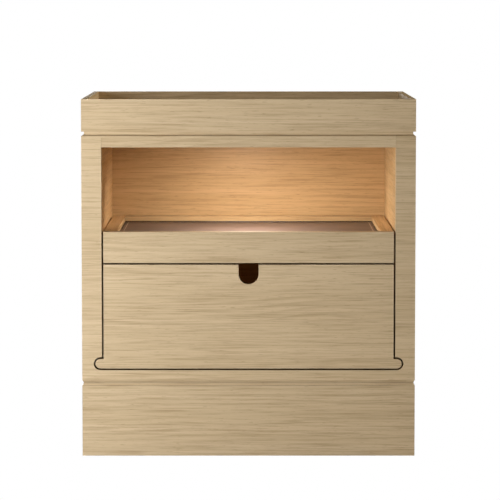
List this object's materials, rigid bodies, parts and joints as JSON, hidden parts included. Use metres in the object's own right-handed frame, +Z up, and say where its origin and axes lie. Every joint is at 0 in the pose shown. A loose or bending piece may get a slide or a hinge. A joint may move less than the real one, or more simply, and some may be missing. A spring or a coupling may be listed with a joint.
{
  "type": "bedside cabinet",
  "caption": "Oak bedside cabinet with a raised rim round its top, a lit open niche, a sliding glass-topped tray, a drawer with a finger slot and a box plinth.",
  "frame": {"origin": "on the floor, under the middle of the cabinet", "axes": "+Z up; the front, with the drawer and the niche, faces -Y; +X is to the right for someone looking at the front"},
  "size_m": [0.6, 0.45, 0.645],
  "materials": {
    "oak_veneer": "pale oak, matt lacquer, grain along X on the front",
    "oak_interior": "oak, matt lacquer",
    "beech": "plain beech",
    "bronze_glass": "bronze glass, opaque from below, polished bevelled edge",
    "black_nylon": "moulded nylon",
    "zinc_steel": "zinc-plated screw",
    "satin_aluminium": "satin",
    "opal_acrylic": "opal light diffuser"
  },
  "bodies": {
    "carcass": {"plinth_front": "oak_veneer", "plinth_back": "oak_veneer", "plinth_left": "oak_veneer", "plinth_right": "oak_veneer", "corner_block_front_left": "beech", "corner_block_front_right": "beech", "corner_block_back_left": "beech", "corner_block_back_right": "beech", "glide_front_left": "black_nylon", "glide_front_right": "black_nylon", "glide_back_left": "black_nylon", "glide_back_right": "black_nylon", "face_frame": "oak_veneer", "side_left": "oak_veneer", "side_right": "oak_veneer", "top_panel": "oak_veneer", "bottom_panel": "oak_veneer", "back_panel": "oak_interior", "dowel_bottom_left_1": "beech", "dowel_bottom_left_2": "beech", "dowel_bottom_left_3": "beech", "dowel_bottom_right_1": "beech", "dowel_bottom_right_2": "beech", "dowel_bottom_right_3": "beech", "dowel_top_left_1": "beech", "dowel_top_left_2": "beech", "dowel_top_left_3": "beech", "dowel_top_right_1": "beech", "dowel_top_right_2": "beech", "dowel_top_right_3": "beech", "gallery_front": "oak_veneer", "gallery_back": "oak_veneer", "gallery_left": "oak_veneer", "gallery_right": "oak_veneer", "lamp_housing": "satin_aluminium", "lamp_bezel": "satin_aluminium", "lamp_diffuser": "opal_acrylic", "lead_gland": "black_nylon", "tray_runner_left": "beech", "tray_runner_right": "beech", "runner_screw_left_1": "zinc_steel", "runner_screw_left_2": "zinc_steel", "runner_screw_left_3": "zinc_steel", "runner_screw_right_1": "zinc_steel", "runner_screw_right_2": "zinc_steel", "runner_screw_right_3": "zinc_steel", "groove_liner_left": "black_nylon", "groove_liner_right": "black_nylon", "drawer_stop": "beech"},
    "tray": {"tray_front": "oak_veneer", "tray_side_left": "oak_interior", "tray_side_right": "oak_interior", "tray_back": "oak_interior", "tray_base": "oak_interior", "tray_glass": "bronze_glass"},
    "drawer": {"drawer_front": "oak_veneer", "drawer_base": "oak_interior", "drawer_side_left": "oak_interior", "drawer_side_right": "oak_interior", "drawer_back": "oak_interior"}
  },
  "joints": [
    {"name": "drawer_slide", "type": "slide", "parent": "carcass", "child": "drawer", "axis": [0, -1, 0], "range_m": [0, 0.32]},
    {"name": "tray_slide", "type": "slide", "parent": "carcass", "child": "tray", "axis": [0, 1, 0], "range_m": [-0.22, 0]}
  ]
}
